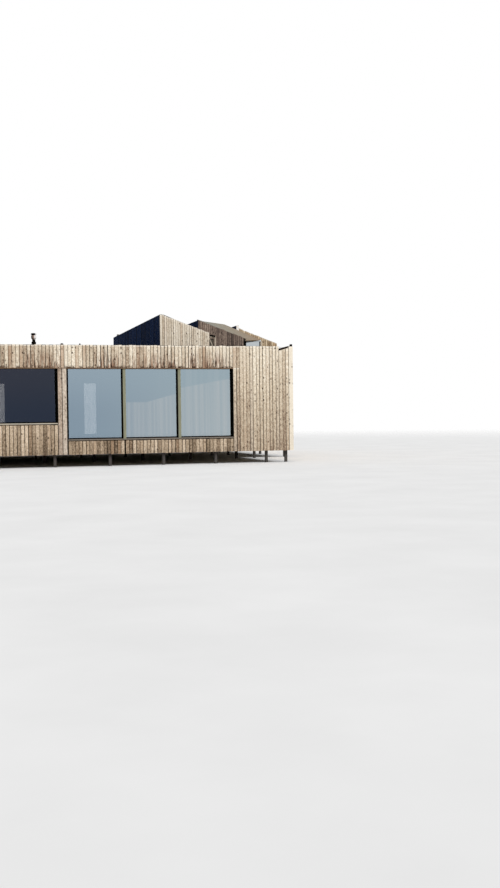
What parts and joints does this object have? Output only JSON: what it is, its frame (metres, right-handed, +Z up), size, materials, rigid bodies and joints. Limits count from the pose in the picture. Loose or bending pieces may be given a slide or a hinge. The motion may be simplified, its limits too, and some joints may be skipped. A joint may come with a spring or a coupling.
{
  "type": "timber beach house",
  "caption": "Single-storey beach house on piles, clad in upright weathered boards, with a band of large windows and three saw-tooth roof monitors.",
  "frame": {"origin": "on the ground, under the middle of the house's outline", "axes": "+Z up, +X along the window front to its right end, -Y out of the window front"},
  "size_m": [21.56, 12.3, 5.3264],
  "materials": {
    "weathered_boards": "silvered larch boards with grain, knots and dark joints",
    "stained_boards": "black stained boards",
    "brown_boards": "weathered brown boards",
    "window_frame": "black powder coat",
    "fin_timber": "olive glazed timber",
    "front_pane": "reflective insulating glass",
    "back_pane": "clear insulating glass",
    "sill_metal": "mill aluminium, dulled",
    "roof_felt": "mineral bitumen felt",
    "canopy_felt": "pale mineral felt",
    "floor_boards": "oiled boards",
    "structure_timber": "rough sawn timber",
    "flashing_metal": "dark painted steel",
    "flue_steel": "stainless steel, weathered",
    "vent_plastic": "matt"
  },
  "bodies": {
    "root": {"front_wall_left": "weathered_boards", "front_wall_right": "weathered_boards", "front_piers": "weathered_boards", "front_parapet": "weathered_boards", "front_skirts": "weathered_boards", "middle_apron": "weathered_boards", "left_wall": "weathered_boards", "right_wall": "weathered_boards", "wing_front_wall": "weathered_boards", "wing_side_wall": "weathered_boards", "back_wall_panels": "weathered_boards", "back_parapet": "weathered_boards", "back_skirts": "weathered_boards", "monitor_1_front": "weathered_boards", "monitor_3_front": "weathered_boards", "monitor_back_walls": "weathered_boards", "monitor_1_side": "stained_boards", "monitor_2_side": "stained_boards", "monitor_3_side": "stained_boards", "monitor_2_front": "brown_boards", "monitor_low_walls": "brown_boards", "canopy_gable": "brown_boards", "front_window_frames": "window_frame", "back_window_frames": "window_frame", "front_fins": "fin_timber", "front_glass": "front_pane", "monitor_3_glass": "front_pane", "back_glass": "back_pane", "front_sills": "sill_metal", "rainwater_pipe": "sill_metal", "roof_deck_left": "roof_felt", "roof_deck_right": "roof_felt", "monitor_1_roof": "roof_felt", "monitor_2_roof": "roof_felt", "monitor_3_roof": "roof_felt", "canopy_roof": "canopy_felt", "floor_deck": "floor_boards", "wing_floor": "floor_boards", "piles_outer": "structure_timber", "piles_inner": "structure_timber", "floor_bearers": "structure_timber", "end_flashing": "flashing_metal", "canopy_post": "flashing_metal", "flue_pipe": "flue_steel", "flue_cap": "flue_steel", "roof_vents": "vent_plastic", "corner_lamp": "vent_plastic"}
  },
  "joints": []
}
